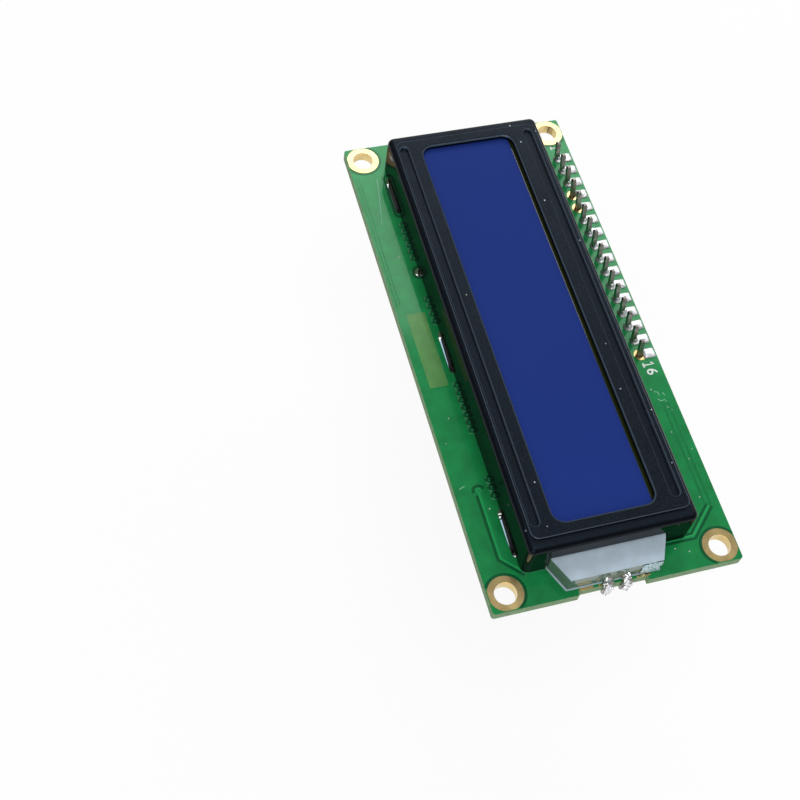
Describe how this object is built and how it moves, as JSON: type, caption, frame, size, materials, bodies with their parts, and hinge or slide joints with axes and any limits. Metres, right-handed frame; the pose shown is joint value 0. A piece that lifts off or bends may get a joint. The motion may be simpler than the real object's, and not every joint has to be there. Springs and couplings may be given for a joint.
{
  "type": "character lcd module",
  "caption": "Two-line character display on a green board, with a black framed blue window and a serial adapter soldered behind its pin row.",
  "frame": {"origin": "centre of the four fixing holes, on the board's front face", "axes": "+X along the text line from pin 1 to pin 16, +Y towards the pin row, +Z out of the display"},
  "size_m": [0.08, 0.036, 0.0192],
  "materials": {
    "board_laminate": "green solder mask over glass-fibre laminate",
    "adapter_laminate": "near-black solder mask over glass-fibre laminate",
    "gold": "gold flash over copper, satin",
    "bezel_steel": "black paint, glossy walls and a satin face",
    "cell_glass": "clear, olive at the cell's border",
    "display_film": "royal blue polariser, smooth",
    "contact_rubber": "soft pink rubber",
    "acrylic": "clear acrylic, greenish at its edges",
    "white_film": "white diffusing film",
    "lamp": "lamp body with yellow-white resin",
    "resin": "black resin, satin with a few pits",
    "chip_ceramic": "black glazed ceramic",
    "brown_ceramic": "brown fired ceramic",
    "solder": "bright solder",
    "pin_metal": "tin over brass, bright",
    "moulded_black": "moulded black plastic",
    "trimmer_blue": "moulded blue plastic",
    "rotor_grey": "moulded light grey plastic",
    "clip_metal": "sprung sheet, plated"
  },
  "bodies": {
    "module": {"main_board": "board_laminate", "mount_rings": "gold", "tab_pads": "gold", "bezel": "bezel_steel", "front_glass": "cell_glass", "rear_glass": "cell_glass", "front_polariser": "display_film", "rear_polariser": "display_film", "contact_strips": "contact_rubber", "light_guide": "acrylic", "diffuser_film": "white_film", "reflector_film": "white_film", "backlight_led": "lamp", "led_leads": "solder", "driver_blob_upper": "resin", "driver_blob_lower": "resin", "board_resistors": "chip_ceramic", "board_resistor_ends": "solder", "solder_bridge": "solder", "row_pins": "pin_metal", "pin_spacer": "moulded_black", "front_solder": "solder", "adapter_solder": "solder", "adapter_board": "adapter_laminate", "expander_chip": "moulded_black", "expander_leads": "solder", "trimmer_body": "trimmer_blue", "trimmer_pins": "pin_metal", "bus_header": "moulded_black", "bus_pins": "pin_metal", "jumper_header": "moulded_black", "jumper_pins": "pin_metal", "inner_solder": "solder", "transistor": "moulded_black", "transistor_leads": "solder", "adapter_resistors": "chip_ceramic", "adapter_resistor_ends": "solder", "chip_capacitor": "brown_ceramic", "chip_capacitor_ends": "solder", "power_led": "lamp", "power_led_ends": "solder"},
    "trimmer_rotor": {"trimmer_rotor": "rotor_grey"},
    "jumper_shunt": {"jumper_cap": "moulded_black", "jumper_clip": "clip_metal"}
  },
  "joints": [
    {"name": "trimmer_turn", "type": "hinge", "parent": "module", "child": "trimmer_rotor", "pos_m": [-0.0246, 0.00998, -0.01109], "axis": [0, 0.1392, -0.9903], "range_deg": [-120, 120]},
    {"name": "jumper_pull", "type": "slide", "parent": "module", "child": "jumper_shunt", "axis": [1, 0, 0], "range_m": [0, 0.007]}
  ]
}
